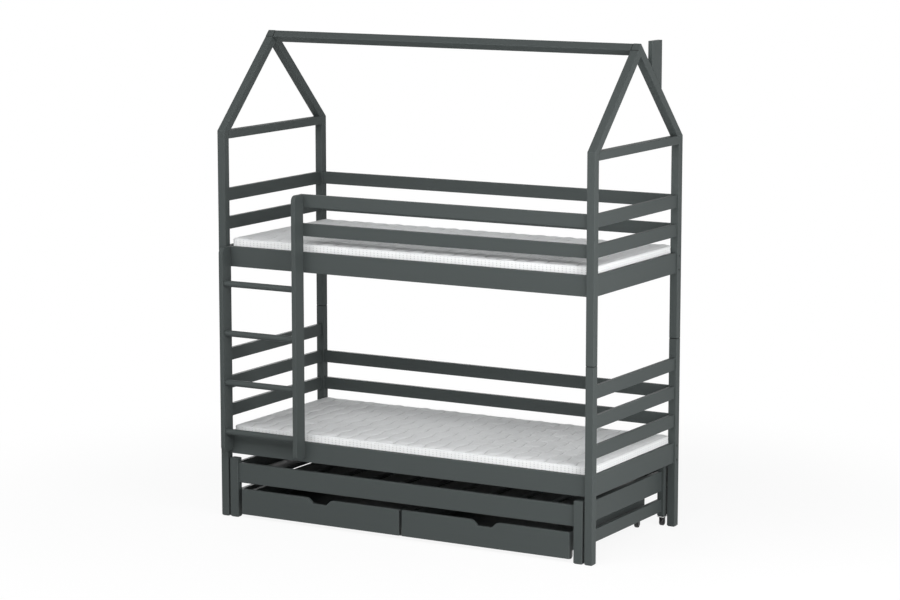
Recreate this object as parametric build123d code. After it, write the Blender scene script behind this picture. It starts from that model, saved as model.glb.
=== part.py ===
from build123d import *
import math
import os

os.makedirs("parts", exist_ok=True)

# House bunk bed with a pull-out third bed and two rolling drawers.
# +Z is up and z = 0 is the floor. +X runs along the bed, towards the gable
# with the chimney. -Y is the front, where the ladder stands.
# The origin is the middle of the whole footprint, ladder included.

# Posts
bed_length = 2000.0
bed_width = 900.0
post_size = 40.0
post_join_above_guards = 92.0
post_above_guards = 277.0
post_round = 3.0
foot_chamfer = 5.0
join_chamfer = 2.0

# Boards between the posts
board_thick = 22.0
board_round = 2.5
wide_board = 96.0
guard_board = 60.0
guard_gap = 76.0
side_board_inset = 12.0
end_board_inset = 8.0
bunk_rise = 906.0
lower_end_guard_count = 3
lower_back_guard_count = 2
upper_guard_count = 2

# Roof
roof_angle = 45.0
chimney_width = 103.0
chimney_from_ridge = 114.0
chimney_above_ridge = 5.0
roof_joint_groove = 1.5

# Ladder
stile_depth = 74.0
stile_bottom_rise = 16.0
stile_corner = 28.0
stile_heel_corner = 20.0
stile_round = 2.0
stile_post_gap = 1.0
ladder_clear_width = 387.0
rung_diameter = 30.0
rung_first_rise = 99.0
rung_last_drop = 171.5
rung_count = 4
rung_setback = 24.0
rung_socket = 12.0
rung_play = 0.15

# Slats and mattresses
ledge_wide = 20.0
ledge_tall = 22.0
slat_thick = 18.0
slat_width = 110.0
slat_round = 2.0
slat_play = 1.0
bed_slat_count = 12
bed_slat_end_gap = 35.0
mattress_post_gap = 10.0
mattress_board_gap = 1.0
mattress_side_gap = 7.0
mattress_thick = 90.0
mattress_crown = 8.0
mattress_corner = 12.0
mattress_end_drop = 5.0
mattress_draw_in = 4.0
channel_depth = 3.0
puff_count = 24
seat_gap = 0.3

# Third bed, which rolls out at the front between the posts
trundle_side_gap = 10.0
trundle_top_gap = 20.0
trundle_back_gap = 10.0
leg_broad = 45.0
leg_narrow = 35.0
trundle_leg_above_rail = 24.0
trundle_front_inset = 10.0
trundle_end_inset = 13.0
trundle_back_inset = 1.0
trundle_board_gap = 40.0
trundle_ledge_rise = 19.0
trundle_slat_count = 11
trundle_slat_end_gap = 60.0
trundle_wheel_top_gap = 4.5
trundle_wheel_diameter = 36.0
trundle_wheel_wide = 18.0
castor_plate_thick = 2.5
castor_plate_margin = 0.5

# Drawers under the third bed
drawer_leg_gap = 21.0
drawer_top_gap = 29.0
drawer_front_tall = 123.0
drawer_front_thick = 18.0
drawer_front_lift = 18.0
drawer_parting = 15.0
drawer_box_inset = 23.0
drawer_back_gap = 23.0
drawer_side_drop = 11.0
drawer_side_thick = 16.0
drawer_bottom_thick = 12.0
drawer_wheel_top_gap = 3.0
drawer_castor_from_end = 55.0
drawer_castor_from_side = 12.0
drawer_wheel_diameter = 34.0
drawer_wheel_wide = 17.0
notch_top_wide = 128.0
notch_floor_wide = 76.0
notch_deep = 26.0
notch_lip_round = 32.0
notch_floor_round = 10.0

# Castors: fork and wheel
fork_cheek_thick = 2.0
fork_bridge_thick = 3.0
fork_cheek_wide = 20.0
fork_bridge_long = 26.0
fork_wheel_play = 0.6
axle_diameter = 6.0
axle_play = 0.05
hub_recess = 2.0
tyre_share = 0.72
hub_share = 0.36
wheel_round = 2.0

# Fasteners
bolt_diameter = 6.0
bolt_head_diameter = 12.0
bolt_head_thick = 5.0
bolt_sink = 1.0
bolt_reach = 34.0
bolt_tip = 8.0
bolt_from_edge = 15.0
bolt_play = 0.3
bolt_socket_wide = 6.0
bolt_socket_deep = 2.5
plug_thick = 5.0
plug_play = 0.1
nut_diameter = 10.0
nut_long = 14.0
nut_play = 0.1
dowel_diameter = 8.0
dowel_long = 40.0
dowel_play = 0.1
dowel_from_middle = 18.0
tie_dowel_from_middle = 10.0
foot_dowel_share = 0.75
pin_diameter = 10.0
pin_long = 80.0
screw_diameter = 5.0
screw_long = 60.0
screw_head_diameter = 10.0
screw_head_thick = 4.0
screw_play = 0.1
screw_from_edge = 26.0
overrun = 1.0

# Places along and across the bed, worked out from the sizes above
ladder_reach = stile_depth - side_board_inset
x_right = bed_length / 2
y_front = (ladder_reach - bed_width) / 2
y_rear = y_front + bed_width
y_middle = (y_front + y_rear) / 2
y_side_board = y_front + side_board_inset + board_thick / 2
y_back_board = y_rear - side_board_inset - board_thick / 2
x_end_board = x_right - end_board_inset - board_thick / 2
x_post_inner = x_right - post_size
x_post_middle = x_right - post_size / 2
x_mattress_left = mattress_post_gap - x_post_inner
x_mattress_right = x_end_board - board_thick / 2 - mattress_board_gap
x_mattress = (x_mattress_left + x_mattress_right) / 2
mattress_length = x_mattress_right - x_mattress_left
x_trundle = x_post_inner - trundle_side_gap
x_trundle_board = x_trundle - trundle_end_inset - board_thick / 2
y_trundle_rear = y_rear - trundle_back_gap
y_front_rail = y_front + trundle_front_inset + board_thick / 2
y_rear_rail = y_trundle_rear - trundle_back_inset - board_thick / 2
drawer_front_wide = x_trundle - leg_broad - drawer_leg_gap - drawer_parting / 2
y_drawer_box = y_front + drawer_front_thick
y_drawer_back = y_trundle_rear - leg_broad - drawer_back_gap

# Heights from the floor up: drawers, third bed, lower bunk, upper bunk, roof
drawer_castor_height = drawer_wheel_diameter + drawer_wheel_top_gap + fork_bridge_thick
drawer_front_top = drawer_front_lift + drawer_front_tall
trundle_castor_height = trundle_wheel_diameter + trundle_wheel_top_gap + fork_bridge_thick
trundle_foot_height = trundle_castor_height + castor_plate_thick
trundle_rail_bottom = drawer_front_top + drawer_top_gap
trundle_rail_top = trundle_rail_bottom + wide_board
trundle_leg_height = trundle_rail_top + trundle_leg_above_rail
lower_board_bottom = trundle_leg_height + trundle_top_gap
lower_board_top = lower_board_bottom + wide_board
upper_board_bottom = lower_board_bottom + bunk_rise
upper_board_top = upper_board_bottom + wide_board
guard_step = guard_board + guard_gap
post_join_height = lower_board_top + guard_step * lower_end_guard_count + post_join_above_guards
top_guard_top = upper_board_top + guard_step * upper_guard_count
post_top_height = top_guard_top + post_above_guards
roof_slope = math.radians(roof_angle)
ridge_height = post_top_height + bed_width / 2 * math.tan(roof_slope)
ridge_middle = ridge_height - post_size / 2 / math.cos(roof_slope)
stile_bottom_height = lower_board_bottom + stile_bottom_rise
rung_first_height = stile_bottom_height + rung_first_rise
rung_last_height = upper_board_top - rung_last_drop
SIDES = ("left", "right")


def save(node, solids):
    """Write one node as one STEP file, as a group where it has several solids."""
    group = solids[0] if len(solids) == 1 else Compound(children=solids)
    export_step(group, f"parts/{node}.step")


def flipped(shape):
    """The same shape at the other end of the bed."""
    return mirror(shape, about=Plane.YZ)


def at_end(shape, side):
    """A shape drawn at the right-hand end, put at the end that is asked for."""
    return shape if side == "right" else flipped(shape)


def bar_x(x0, x1, y, z, wide, tall, radius):
    """A bar along X with rounded long edges, centred on y and z."""
    start = Plane(origin=(x0, y, z), x_dir=(0, 1, 0), z_dir=(1, 0, 0))
    return extrude(start * RectangleRounded(wide, tall, radius), x1 - x0)


def bar_y(y0, y1, x, z, wide, tall, radius):
    """A bar along Y with rounded long edges, centred on x and z."""
    start = Plane(origin=(x, y0, z), x_dir=(1, 0, 0), z_dir=(0, 1, 0))
    return extrude(start * RectangleRounded(wide, tall, radius), y1 - y0)


def bar_z(z0, z1, x, y, wide, deep, radius, foot=0.0, head=0.0):
    """An upright bar with rounded long edges and chamfered ends."""
    section = RectangleRounded(wide, deep, radius)
    body = extrude(Pos(x, y, z0 + foot) * section, z1 - z0 - foot - head)
    for cut, z_full, z_small in ((foot, z0 + foot, z0), (head, z1 - head, z1)):
        if cut > 0:
            small = RectangleRounded(wide - 2 * cut, deep - 2 * cut, radius)
            ends = sorted(((z_full, section), (z_small, small)), key=lambda end: end[0])
            body += loft([Pos(x, y, z) * face for z, face in ends])
    return body


def plate_x(face, x, thick):
    """A flat piece with its outline in the YZ plane, from x towards +X."""
    return Pos(x, 0, 0) * extrude(face, thick, dir=(1, 0, 0))


def rod(start, direction, length, diameter):
    """A round rod from a point along a direction."""
    return extrude(Plane(origin=start, z_dir=direction) * Circle(diameter / 2), length)


def bolt_joint(x_face, depth, y, z, nut_way, sink=bolt_sink):
    """Bolt along X through an upright into a board's end, held by a barrel nut.

    Drawn for the right-hand end: x_face is the upright's outer face, depth is
    its size along X, sink is how far below that face the head lies, and
    nut_way is the side of the board the nut goes in from.
    """
    x_head = x_face - sink
    x_seat = x_head - bolt_head_thick
    x_nut = x_face - depth - bolt_reach
    x_tip = x_nut - bolt_tip
    inwards = (-1, 0, 0)
    bolt = rod((x_head, y, z), inwards, bolt_head_thick, bolt_head_diameter)
    bolt += rod((x_seat, y, z), inwards, x_seat - x_tip, bolt_diameter)
    bolt -= rod((x_head, y, z), inwards, bolt_socket_deep, bolt_socket_wide)
    y_face = y + nut_way * board_thick / 2
    y_nut = y - nut_way * nut_long / 2
    nut = rod((x_nut, y_nut, z), (0, nut_way, 0), nut_long, nut_diameter)
    nut -= rod((x_nut + nut_diameter, y, z), inwards, 2 * nut_diameter, bolt_diameter + bolt_play)
    hole = bolt_diameter + 2 * bolt_play
    upright_cut = rod((x_face + overrun, y, z), inwards, depth + 2 * overrun, hole)
    seat = sink + bolt_head_thick + overrun
    upright_cut += rod((x_face + overrun, y, z), inwards, seat, bolt_head_diameter + 2 * bolt_play)
    x_mouth = x_face - depth + overrun
    board_cut = rod((x_mouth, y, z), inwards, x_mouth - x_tip + overrun, hole)
    nut_hole = abs(y_face - y_nut) + overrun
    start = (x_nut, y_nut, z)
    board_cut += rod(start, (0, nut_way, 0), nut_hole, nut_diameter + 2 * nut_play)
    return bolt, nut, upright_cut, board_cut


def dowel_joint(point, direction):
    """Wooden dowel across a butt joint at a point, and the hole for it."""
    back = Vector(*point) - Vector(*direction) * (dowel_long / 2)
    pin = rod(tuple(back), direction, dowel_long, dowel_diameter)
    hole_start = tuple(back - Vector(*direction) * dowel_play)
    hole = rod(hole_start, direction, dowel_long + 2 * dowel_play, dowel_diameter + 2 * dowel_play)
    return pin, hole


def guard_middles(board_top, count):
    """Heights of the middles of the narrow boards above a wide one."""
    first = board_top + guard_gap + guard_board / 2
    return [first + guard_step * k for k in range(count)]


lower_end_guards = guard_middles(lower_board_top, lower_end_guard_count)
lower_back_guards = guard_middles(lower_board_top, lower_back_guard_count)
upper_guards = guard_middles(upper_board_top, upper_guard_count)
lower_board_middle = lower_board_bottom + wide_board / 2
upper_board_middle = upper_board_bottom + wide_board / 2

# Cuts and hidden fasteners gathered while the joints are laid out
post_cuts = {}
board_cuts = {}
bolt_plugs = []
frame_bolts = []
frame_dowels = []


def cut_into(cuts, name, tool):
    """Remember a cut for a piece."""
    cuts.setdefault(name, []).append(tool)


def post_name(z, corner):
    """The post piece that a height falls in."""
    level = "lower" if z < post_join_height else "upper"
    return f"{level}_post_{corner}"


def lay_out_side_bolts():
    """Two bolts and barrel nuts at each end of the four wide side boards."""
    rows = (("lower", lower_board_bottom), ("upper", upper_board_bottom))
    places = (("front", y_side_board, 1), ("rear", y_back_board, -1))
    plug_diameter = bolt_head_diameter + 2 * bolt_play - 2 * plug_play
    for level, bottom in rows:
        for place, y, nut_way in places:
            sink = plug_thick if place == "front" else bolt_sink
            for z in (bottom + bolt_from_edge, bottom + wide_board - bolt_from_edge):
                pieces = bolt_joint(x_right, post_size, y, z, nut_way, sink)
                for side in SIDES:
                    if place == "front":
                        plug = rod((x_right, y, z), (-1, 0, 0), plug_thick, plug_diameter)
                        bolt_plugs.append(at_end(plug, side))
                    bolt, nut, post_cut, board_cut = [at_end(p, side) for p in pieces]
                    frame_bolts.extend([bolt, nut])
                    cut_into(post_cuts, f"{level}_post_{place}_{side}", post_cut)
                    cut_into(board_cuts, f"{level}_rail_{place}", board_cut)


def lay_out_guard_dowels():
    """Two dowels at each end of the narrow side boards, where a post carries them."""
    rows = []
    for k, z in enumerate(lower_back_guards):
        rows += [("lower_back_guards", k, "rear", y_back_board, z, side) for side in SIDES]
    for k, z in enumerate(upper_guards):
        rows += [("upper_back_guards", k, "rear", y_back_board, z, side) for side in SIDES]
        rows.append(("upper_front_guards", k, "front", y_side_board, z, "right"))
    for node, k, place, y, z, side in rows:
        for dz in (-dowel_from_middle, dowel_from_middle):
            pin, hole = dowel_joint((x_post_inner, y, z + dz), (1, 0, 0))
            pin, hole = at_end(pin, side), at_end(hole, side)
            frame_dowels.append(pin)
            cut_into(post_cuts, post_name(z, f"{place}_{side}"), hole)
            cut_into(board_cuts, f"{node}_{k}", hole)


def end_board_rows(level):
    """Middle height, board height and dowel places of each board at a bed's end."""
    wide = lower_board_middle if level == "lower" else upper_board_middle
    guards = lower_end_guards if level == "lower" else upper_guards
    rows = [(wide, wide_board, (-dowel_from_middle, dowel_from_middle))]
    return rows + [(z, guard_board, (0,)) for z in guards]


def lay_out_end_dowels():
    """Dowels that hold the end boards between the front and rear posts."""
    y_faces = (("front", y_front + post_size), ("rear", y_rear - post_size))
    for level in ("lower", "upper"):
        for k, (z, tall, offsets) in enumerate(end_board_rows(level)):
            for place, y in y_faces:
                for dz in offsets:
                    joint = dowel_joint((x_end_board, y, z + dz), (0, 1, 0))
                    for side in SIDES:
                        pin, hole = [at_end(p, side) for p in joint]
                        frame_dowels.append(pin)
                        cut_into(post_cuts, f"{level}_post_{place}_{side}", hole)
                        cut_into(board_cuts, f"{level}_end_boards_{side}_{k}", hole)


def lay_out_post_pins():
    """A pin up the middle of each post joins its lower and upper piece."""
    hole_diameter = pin_diameter + 2 * dowel_play
    for place, y in (("front", y_front + post_size / 2), ("rear", y_rear - post_size / 2)):
        z = post_join_height - pin_long / 2
        pin = rod((x_post_middle, y, z), (0, 0, 1), pin_long, pin_diameter)
        hole_long = pin_long + 2 * dowel_play
        hole = rod((x_post_middle, y, z - dowel_play), (0, 0, 1), hole_long, hole_diameter)
        for side in SIDES:
            frame_dowels.append(at_end(pin, side))
            for level in ("lower", "upper"):
                cut_into(post_cuts, f"{level}_post_{place}_{side}", at_end(hole, side))


def trimmed(name, shape, cuts):
    """A shape less the cuts that were laid out for it."""
    for tool in cuts.get(name, []):
        shape -= tool
    return shape


def make_posts():
    """Four posts, each of a lower and an upper piece."""
    rows = (("front", y_front + post_size / 2), ("rear", y_rear - post_size / 2))
    for place, y in rows:
        lower = bar_z(0, post_join_height, x_post_middle, y, post_size, post_size,
                      post_round, foot_chamfer, join_chamfer)
        upper = bar_z(post_join_height, post_top_height, x_post_middle, y, post_size,
                      post_size, post_round, join_chamfer)
        for side in SIDES:
            for level, piece in (("lower", lower), ("upper", upper)):
                name = f"{level}_post_{place}_{side}"
                save(name, [trimmed(name, at_end(piece, side), post_cuts)])


def make_side_boards():
    """Wide boards along the beds, and the guard boards above them."""
    levels = (("lower", lower_board_middle), ("upper", upper_board_middle))
    for level, z in levels:
        for place, y in (("front", y_side_board), ("rear", y_back_board)):
            name = f"{level}_rail_{place}"
            board = bar_x(-x_post_inner, x_post_inner, y, z, board_thick, wide_board, board_round)
            for screw in ladder_screw_cuts:
                if place == "front":
                    board -= screw
            save(name, [trimmed(name, board, board_cuts)])
    x_stile = -x_post_inner + stile_post_gap + board_thick + ladder_clear_width
    groups = (("lower_back_guards", lower_back_guards, y_back_board, -x_post_inner),
              ("upper_back_guards", upper_guards, y_back_board, -x_post_inner),
              ("upper_front_guards", upper_guards, y_side_board, x_stile))
    for node, heights, y, x_start in groups:
        boards = []
        for k, z in enumerate(heights):
            board = bar_x(x_start, x_post_inner, y, z, board_thick, guard_board, board_round)
            for screw in ladder_screw_cuts:
                if node == "upper_front_guards":
                    board -= screw
            boards.append(trimmed(f"{node}_{k}", board, board_cuts))
        save(node, boards)


def make_end_boards():
    """Boards across the four bed ends, a wide one below and guards above it."""
    for level in ("lower", "upper"):
        for side in SIDES:
            boards = []
            for k, (z, tall, _) in enumerate(end_board_rows(level)):
                board = bar_y(y_front + post_size, y_rear - post_size, x_end_board, z,
                              board_thick, tall, board_round)
                name = f"{level}_end_boards_{side}_{k}"
                boards.append(trimmed(name, at_end(board, side), board_cuts))
            save(f"{level}_end_boards_{side}", boards)


def ladder_screw_joints():
    """Screws from inside the beds, through the boards, into the stiles."""
    x_stiles = (-x_post_inner + stile_post_gap + board_thick / 2,
                -x_post_inner + stile_post_gap + board_thick * 3 / 2 + ladder_clear_width)
    y_inside = y_side_board + board_thick / 2
    z_lower = lower_board_top - screw_from_edge
    z_upper = (upper_board_bottom + screw_from_edge, upper_board_top - screw_from_edge)
    rows = [(x, z) for x in x_stiles for z in (z_lower,) + z_upper]
    rows += [(x_stiles[1], z) for z in upper_guards]
    joints = []
    for x, z in rows:
        outwards = (0, -1, 0)
        screw = rod((x, y_inside, z), outwards, screw_long, screw_diameter)
        screw += rod((x, y_inside, z), outwards, screw_head_thick, screw_head_diameter)
        start = (x, y_inside + overrun, z)
        cut_long = screw_long + overrun + screw_play
        cut = rod(start, outwards, cut_long, screw_diameter + 2 * screw_play)
        head_cut = screw_head_thick + overrun
        cut += rod(start, outwards, head_cut, screw_head_diameter + 2 * screw_play)
        joints.append((screw, cut))
    return joints


def stile(x, z_top, cuts):
    """One side board of the ladder, with its outer corners rounded."""
    y_back = y_front + side_board_inset
    y_nose = y_back - stile_depth
    outline = Polyline((y_nose, stile_bottom_height), (y_back, stile_bottom_height),
                       (y_back, z_top), (y_nose, z_top), close=True)
    face = make_face(Plane.YZ * outline)
    nose = [v for v in face.vertices() if v.Y < y_back - stile_corner]
    face = fillet(nose, stile_corner)
    heel = [v for v in face.vertices() if v.Z < z_top - stile_corner
            and v.Y > y_back - stile_heel_corner]
    face = fillet(heel, stile_heel_corner)
    body = plate_x(face, x, board_thick)
    rims = body.faces().filter_by(Plane.YZ).edges()
    body = fillet(rims, stile_round)
    for tool in cuts:
        body -= tool
    return body


def make_ladder():
    """Two stiles with four round rungs let into them."""
    x_left = -x_post_inner + stile_post_gap
    x_second = x_left + board_thick + ladder_clear_width
    y_rung = y_front + side_board_inset - stile_depth + rung_setback
    rung_pitch = (rung_last_height - rung_first_height) / (rung_count - 1)
    heights = [rung_first_height + rung_pitch * k for k in range(rung_count)]
    x_start = x_left + board_thick - rung_socket
    rung_long = ladder_clear_width + 2 * rung_socket
    rungs = [rod((x_start, y_rung, z), (1, 0, 0), rung_long, rung_diameter) for z in heights]
    sockets = [rod((x_start, y_rung, z), (1, 0, 0), rung_long, rung_diameter + 2 * rung_play)
               for z in heights]
    save("ladder_stile_left", [stile(x_left, upper_board_top, sockets + ladder_screw_cuts)])
    save("ladder_stile_right", [stile(x_second, top_guard_top, sockets + ladder_screw_cuts)])
    save("ladder_rungs", rungs)


def rafter_outlines():
    """Front and rear rafter in the YZ plane.

    The rear rafter runs through to the front slope at the ridge, and the front
    one butts against its underside. Both are cut level on the post tops.
    """
    foot = post_size / math.sin(roof_slope)
    drop = post_size / math.cos(roof_slope)
    run = post_size / math.sin(2 * roof_slope)
    ridge = (y_middle, ridge_height)
    crook = (y_middle, ridge_height - drop)

    def front_slope(length):
        """Point on the front slope, so far down from the ridge."""
        along = length * math.cos(roof_slope)
        return (y_middle - along, ridge_height - length * math.sin(roof_slope))

    def butt_line(length):
        """Point on the line between the rafters, so far in from the front slope."""
        y, z = front_slope(run)
        share = length / math.dist((y, z), crook)
        return (y + share * (crook[0] - y), z + share * (crook[1] - z))

    groove = roof_joint_groove
    rear = [(y_rear, post_top_height), ridge, front_slope(run - groove), butt_line(groove),
            (y_rear - foot, post_top_height)]
    front = [(y_front, post_top_height), front_slope(run + groove), butt_line(groove), crook,
             (y_front + foot, post_top_height)]
    return {"rear": rear, "front": front}


def roof_dowel_joints():
    """Dowels at the rafter feet, at the ridge and under the chimney board."""
    inset = post_size * foot_dowel_share
    foot_front = (x_post_middle, y_front + inset, post_top_height)
    foot_rear = (x_post_middle, y_rear - inset, post_top_height)
    joints = {"foot_front": dowel_joint(foot_front, (0, 0, 1)),
              "foot_rear": dowel_joint(foot_rear, (0, 0, 1)),
              "ridge": dowel_joint((x_post_inner, y_middle, ridge_middle), (1, 0, 0))}
    y_chimney = y_middle + chimney_from_ridge + chimney_width / 2
    z_chimney = ridge_height - (chimney_from_ridge + chimney_width / 2) * math.tan(roof_slope)
    x_chimney = x_right - board_thick / 2
    joints["chimney"] = dowel_joint((x_chimney, y_chimney, z_chimney), (0, 0, 1))
    return joints


def make_roof():
    """Two gables, each of a tie and two rafters, with the ridge beam and chimney."""
    joints = roof_dowel_joints()
    outlines = rafter_outlines()
    gable = {}
    for place, points in outlines.items():
        face = make_face(Plane.YZ * Polyline(*points, close=True))
        rafter = plate_x(face, x_post_inner, post_size)
        slanted = [e for e in rafter.edges() if abs((e @ 1 - e @ 0).X) < post_round
                   and abs((e @ 1 - e @ 0).Z) > 2 * post_size]
        gable[place] = fillet(slanted, post_round)
    tie = bar_y(y_front + post_size, y_rear - post_size, x_post_middle,
                post_top_height - post_size / 2, post_size, post_size, post_round)
    for place, y in (("front", y_front + post_size), ("rear", y_rear - post_size)):
        for dx in (-tie_dowel_from_middle, tie_dowel_from_middle):
            point = (x_post_middle + dx, y, post_top_height - post_size / 2)
            pin, hole = dowel_joint(point, (0, 1, 0))
            tie -= hole
            for side in SIDES:
                frame_dowels.append(at_end(pin, side))
                cut_into(post_cuts, f"upper_post_{place}_{side}", at_end(hole, side))
    for side in SIDES:
        rafters = []
        for place in ("front", "rear"):
            rafter = gable[place] - joints[f"foot_{place}"][1] - joints["ridge"][1]
            rafters.append(at_end(rafter, side))
            frame_dowels.append(at_end(joints[f"foot_{place}"][0], side))
            top_post = f"upper_post_{place}_{side}"
            cut_into(post_cuts, top_post, at_end(joints[f"foot_{place}"][1], side))
        if side == "right":
            rafters[1] -= joints["chimney"][1]
            frame_dowels.append(joints["chimney"][0])
        frame_dowels.append(at_end(joints["ridge"][0], side))
        save(f"rafters_{side}", rafters)
        save(f"gable_tie_{side}", [at_end(tie, side)])
    diamond = Plane.YZ * Rot(0, 0, 45) * RectangleRounded(post_size, post_size, post_round)
    beam = Pos(0, y_middle, ridge_middle) * plate_x(diamond, -x_post_inner, 2 * x_post_inner)
    ends = beam.faces().sort_by(Axis.X)
    beam = chamfer(ends[0].edges() + ends[-1].edges(), roof_joint_groove)
    beam = beam - joints["ridge"][1] - flipped(joints["ridge"][1])
    save("ridge_beam", [beam])
    make_chimney(joints["chimney"][1])


def make_chimney(dowel_hole):
    """Upright board on the rear slope, flush with the gable's outer face."""
    y_near = y_middle + chimney_from_ridge
    y_far = y_near + chimney_width
    z_near = ridge_height - chimney_from_ridge * math.tan(roof_slope)
    z_far = ridge_height - (chimney_from_ridge + chimney_width) * math.tan(roof_slope)
    z_top = ridge_height + chimney_above_ridge
    points = [(y_near, z_near), (y_near, z_top), (y_far, z_top), (y_far, z_far)]
    face = make_face(Plane.YZ * Polyline(*points, close=True))
    board = plate_x(face, x_right - board_thick, board_thick)
    upright = [e for e in board.edges() if abs((e @ 1 - e @ 0).Z) > chimney_width
               and abs((e @ 1 - e @ 0).Y) < board_round]
    board = fillet(upright, board_round)
    save("chimney_board", [board - dowel_hole])


def slat_row(count, x_inner, end_gap, y0, y1, z_top):
    """Evenly spaced slats across a bed between its side boards."""
    first = -x_inner + end_gap + slat_width / 2
    step = -2 * first / (count - 1)
    z = z_top - slat_thick / 2
    return [bar_y(y0, y1, first + step * k, z, slat_width, slat_thick, slat_round)
            for k in range(count)]


def make_slats():
    """Ledges along the side boards and the slats that lie on them."""
    y_inner_front = y_side_board + board_thick / 2
    y_inner_rear = y_back_board - board_thick / 2
    x_inner = x_end_board - board_thick / 2
    x_ledge = x_post_inner - slat_play
    ledges = []
    for level, bottom in (("lower", lower_board_bottom), ("upper", upper_board_bottom)):
        z = bottom + ledge_tall / 2
        for y in (y_inner_front + ledge_wide / 2, y_inner_rear - ledge_wide / 2):
            ledges.append(bar_x(-x_ledge, x_ledge, y, z, ledge_wide, ledge_tall, slat_round))
        slats = slat_row(bed_slat_count, x_inner, bed_slat_end_gap, y_inner_front + slat_play,
                         y_inner_rear - slat_play, bottom + ledge_tall + slat_thick)
        save(f"{level}_slats", slats)
    save("slat_ledges", ledges)


def mattress_section(x, half_wide, height):
    """Closed section across a mattress, with a crowned top and rounded corners."""
    r = mattress_corner
    bend = r * (1 - math.sqrt(0.5))
    w = half_wide
    low_right = ThreePointArc((w - r, 0), (w - bend, bend), (w, r))
    top_right = ThreePointArc((w, height - r), (w - bend, height - bend), (w - r, height))
    crown = ThreePointArc((w - r, height), (0, height + mattress_crown), (r - w, height))
    top_left = ThreePointArc((r - w, height), (bend - w, height - bend), (-w, height - r))
    low_left = ThreePointArc((-w, r), (bend - w, bend), (r - w, 0))
    sides = [Line((r - w, 0), (w - r, 0)), low_right, Line((w, r), (w, height - r)), top_right,
             crown, top_left, Line((-w, height - r), (-w, r)), low_left]
    section = Plane(origin=(x, 0, 0), x_dir=(0, 1, 0), z_dir=(1, 0, 0))
    return make_face(section * Curve(children=sides))


def mattress():
    """Foam mattress with sewn channels across it, puffed up between them."""
    mattress_width = y_back_board - y_side_board - board_thick - 2 * mattress_side_gap
    steps = 2 * puff_count
    sections = []
    for k in range(steps + 1):
        x = mattress_length * (k / steps - 1 / 2)
        along = 2 * x / mattress_length
        half_wide = mattress_width / 2 - mattress_draw_in * (1 - along ** 2)
        height = mattress_thick if k % 2 else mattress_thick - channel_depth
        if k in (0, steps):
            height -= mattress_end_drop
        sections.append(mattress_section(x, half_wide, height))
    return loft(sections, ruled=True)


def make_mattresses():
    """One mattress on the slats of each bunk."""
    soft = mattress()
    for level, bottom in (("lower", lower_board_bottom), ("upper", upper_board_bottom)):
        z = bottom + ledge_tall + slat_thick + seat_gap
        y = (y_side_board + y_back_board) / 2
        save(f"{level}_mattress", [Pos(x_mattress, y, z) * soft])


def wheel(x, y, diameter, wide):
    """Castor wheel about an axis along X, dished on both faces, standing on the floor."""
    r = diameter / 2
    bore = axle_diameter / 2 + axle_play
    half = wide / 2
    dish = half - hub_recess
    points = [(bore, half), (r * hub_share, half), (r * hub_share, dish), (r * tyre_share, dish),
              (r * tyre_share, half), (r - wheel_round, half), (r, half - wheel_round)]
    below = [(p, -q) for p, q in reversed(points)]
    face = make_face(Polyline(*points, *below, close=True))
    disc = revolve(face, Axis.Y)
    return Pos(x, y, r) * Rot(0, 0, 90) * disc


def fork(x, y, diameter, wide, height):
    """Fixed castor fork: a bridge under the piece above, two cheeks and the axle."""
    span = wide + 2 * fork_wheel_play
    outer = span + 2 * fork_cheek_thick
    z_axle = diameter / 2
    z_bridge = height - fork_bridge_thick / 2
    body = Pos(x, y, z_bridge) * Box(outer, fork_bridge_long, fork_bridge_thick)
    cheek_tall = height - fork_bridge_thick - z_axle
    for way in (-1, 1):
        x_cheek = x + way * (span + fork_cheek_thick) / 2
        middle = z_axle + cheek_tall / 2
        body += Pos(x_cheek, y, middle) * Box(fork_cheek_thick, fork_cheek_wide, cheek_tall)
        x_start = x_cheek - fork_cheek_thick / 2
        body += rod((x_start, y, z_axle), (1, 0, 0), fork_cheek_thick, fork_cheek_wide)
    body += rod((x - outer / 2, y, z_axle), (1, 0, 0), outer, axle_diameter)
    return body


def trundle_bolt_joints():
    """Bolts through the trundle's legs into its front and rear rails."""
    rows = (("front", y_front_rail, leg_broad, 1), ("rear", y_rear_rail, leg_narrow, -1))
    joints = {"front": [], "rear": []}
    for place, y, depth, nut_way in rows:
        for z in (trundle_rail_bottom + bolt_from_edge, trundle_rail_top - bolt_from_edge):
            joints[place].append(bolt_joint(x_trundle, depth, y, z, nut_way))
    return joints


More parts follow.
